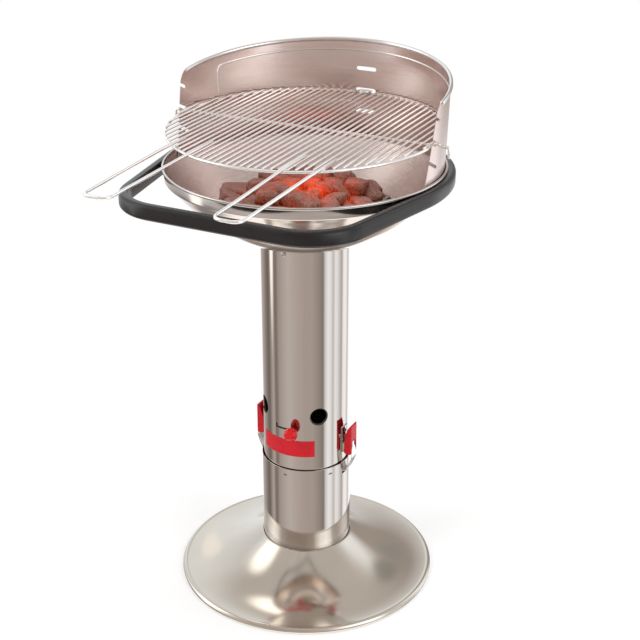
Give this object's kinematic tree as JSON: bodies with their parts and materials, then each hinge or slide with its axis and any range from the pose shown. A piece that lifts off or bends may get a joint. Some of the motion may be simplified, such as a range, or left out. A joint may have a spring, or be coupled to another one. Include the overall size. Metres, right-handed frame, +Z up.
{
  "type": "pedestal charcoal barbecue",
  "caption": "Charcoal barbecue with a fire bowl on a chimney column and a flared foot, a wind shield, a hanging wire grill, an air damper and toggle clips.",
  "frame": {"origin": "middle of the bounding box's footprint, on the ground", "axes": "+X right and +Y back as seen from the side that the handle bar and the grips stand out to; +Z up"},
  "size_m": [0.5384, 0.711, 0.9931],
  "materials": {
    "steel": "polished stainless steel, close to a mirror",
    "chromed_wire": "bright chromed wire and strip",
    "red_plastic": "glossy red",
    "black_bar": "satin black",
    "screws": "bright zinc",
    "charcoal": "charred, with ash and a dull red glow"
  },
  "bodies": {
    "stand": {"foot": "steel", "lower_tube": "steel", "ash_floor": "steel", "foot_screw_1": "screws", "foot_screw_2": "screws", "foot_screw_3": "screws", "upper_tube": "steel", "bowl": "steel", "bowl_screw_1": "screws", "bowl_screw_2": "screws", "bowl_screw_3": "screws", "handle_bar": "black_bar", "handle_screw_1": "screws", "handle_screw_2": "screws", "handle_screw_3": "screws", "handle_screw_4": "screws", "handle_screw_5": "screws", "handle_screw_6": "screws", "clip_bracket_right": "steel", "clip_rivet_right_1": "screws", "clip_rivet_right_2": "screws", "clip_pivot_pin_right": "screws", "clip_bracket_left": "steel", "clip_rivet_left_1": "screws", "clip_rivet_left_2": "screws", "clip_pivot_pin_left": "screws"},
    "damper": {"damper_sleeve": "steel", "damper_pin": "screws", "damper_knob": "red_plastic"},
    "clip_lever_right": {"clip_lever_right": "red_plastic", "clip_link_pin_right": "screws"},
    "clip_lever_left": {"clip_lever_left": "red_plastic", "clip_link_pin_left": "screws"},
    "clip_hook_right": {"clip_hook_right": "chromed_wire"},
    "clip_hook_left": {"clip_hook_left": "chromed_wire"},
    "wind_shield": {"wind_shield": "steel"},
    "grill": {"cooking_grill": "chromed_wire", "grill_cross_wire": "chromed_wire", "grill_grip_left": "chromed_wire", "grill_grip_right": "chromed_wire"},
    "charcoal_grate": {"charcoal_grate": "chromed_wire", "charcoal": "charcoal"}
  },
  "joints": [
    {"name": "damper_turn", "type": "hinge", "parent": "stand", "child": "damper", "pos_m": [0, 0.10227, 0.334], "axis": [0, 0, 1], "range_deg": [-25, 0]},
    {"name": "clip_lever_right_swing", "type": "hinge", "parent": "stand", "child": "clip_lever_right", "pos_m": [0.095, 0.10227, 0.283], "axis": [0, 1, 0], "range_deg": [0, 85]},
    {"name": "clip_hook_right_swing", "type": "hinge", "parent": "clip_lever_right", "child": "clip_hook_right", "pos_m": [0.096, 0.10227, 0.291], "axis": [0, 1, 0], "range_deg": [-93.5, 0]},
    {"name": "clip_lever_left_swing", "type": "hinge", "parent": "stand", "child": "clip_lever_left", "pos_m": [-0.095, 0.10227, 0.283], "axis": [0, -1, 0], "range_deg": [0, 85]},
    {"name": "clip_hook_left_swing", "type": "hinge", "parent": "clip_lever_left", "child": "clip_hook_left", "pos_m": [-0.096, 0.10227, 0.291], "axis": [0, -1, 0], "range_deg": [-93.5, 0]},
    {"name": "wind_shield_lift", "type": "slide", "parent": "stand", "child": "wind_shield", "axis": [0, 0, 1], "range_m": [0, 0.2]},
    {"name": "grill_lift", "type": "slide", "parent": "wind_shield", "child": "grill", "axis": [0, -0.891, 0.454], "range_m": [0, 0.2]},
    {"name": "charcoal_grate_lift", "type": "slide", "parent": "stand", "child": "charcoal_grate", "axis": [0, 0, 1], "range_m": [0, 0.06]}
  ],
  "couplings": [
    {"joint": "clip_hook_right_swing", "follows": "clip_lever_right_swing", "ratio": -1.1},
    {"joint": "clip_hook_left_swing", "follows": "clip_lever_left_swing", "ratio": -1.1}
  ]
}
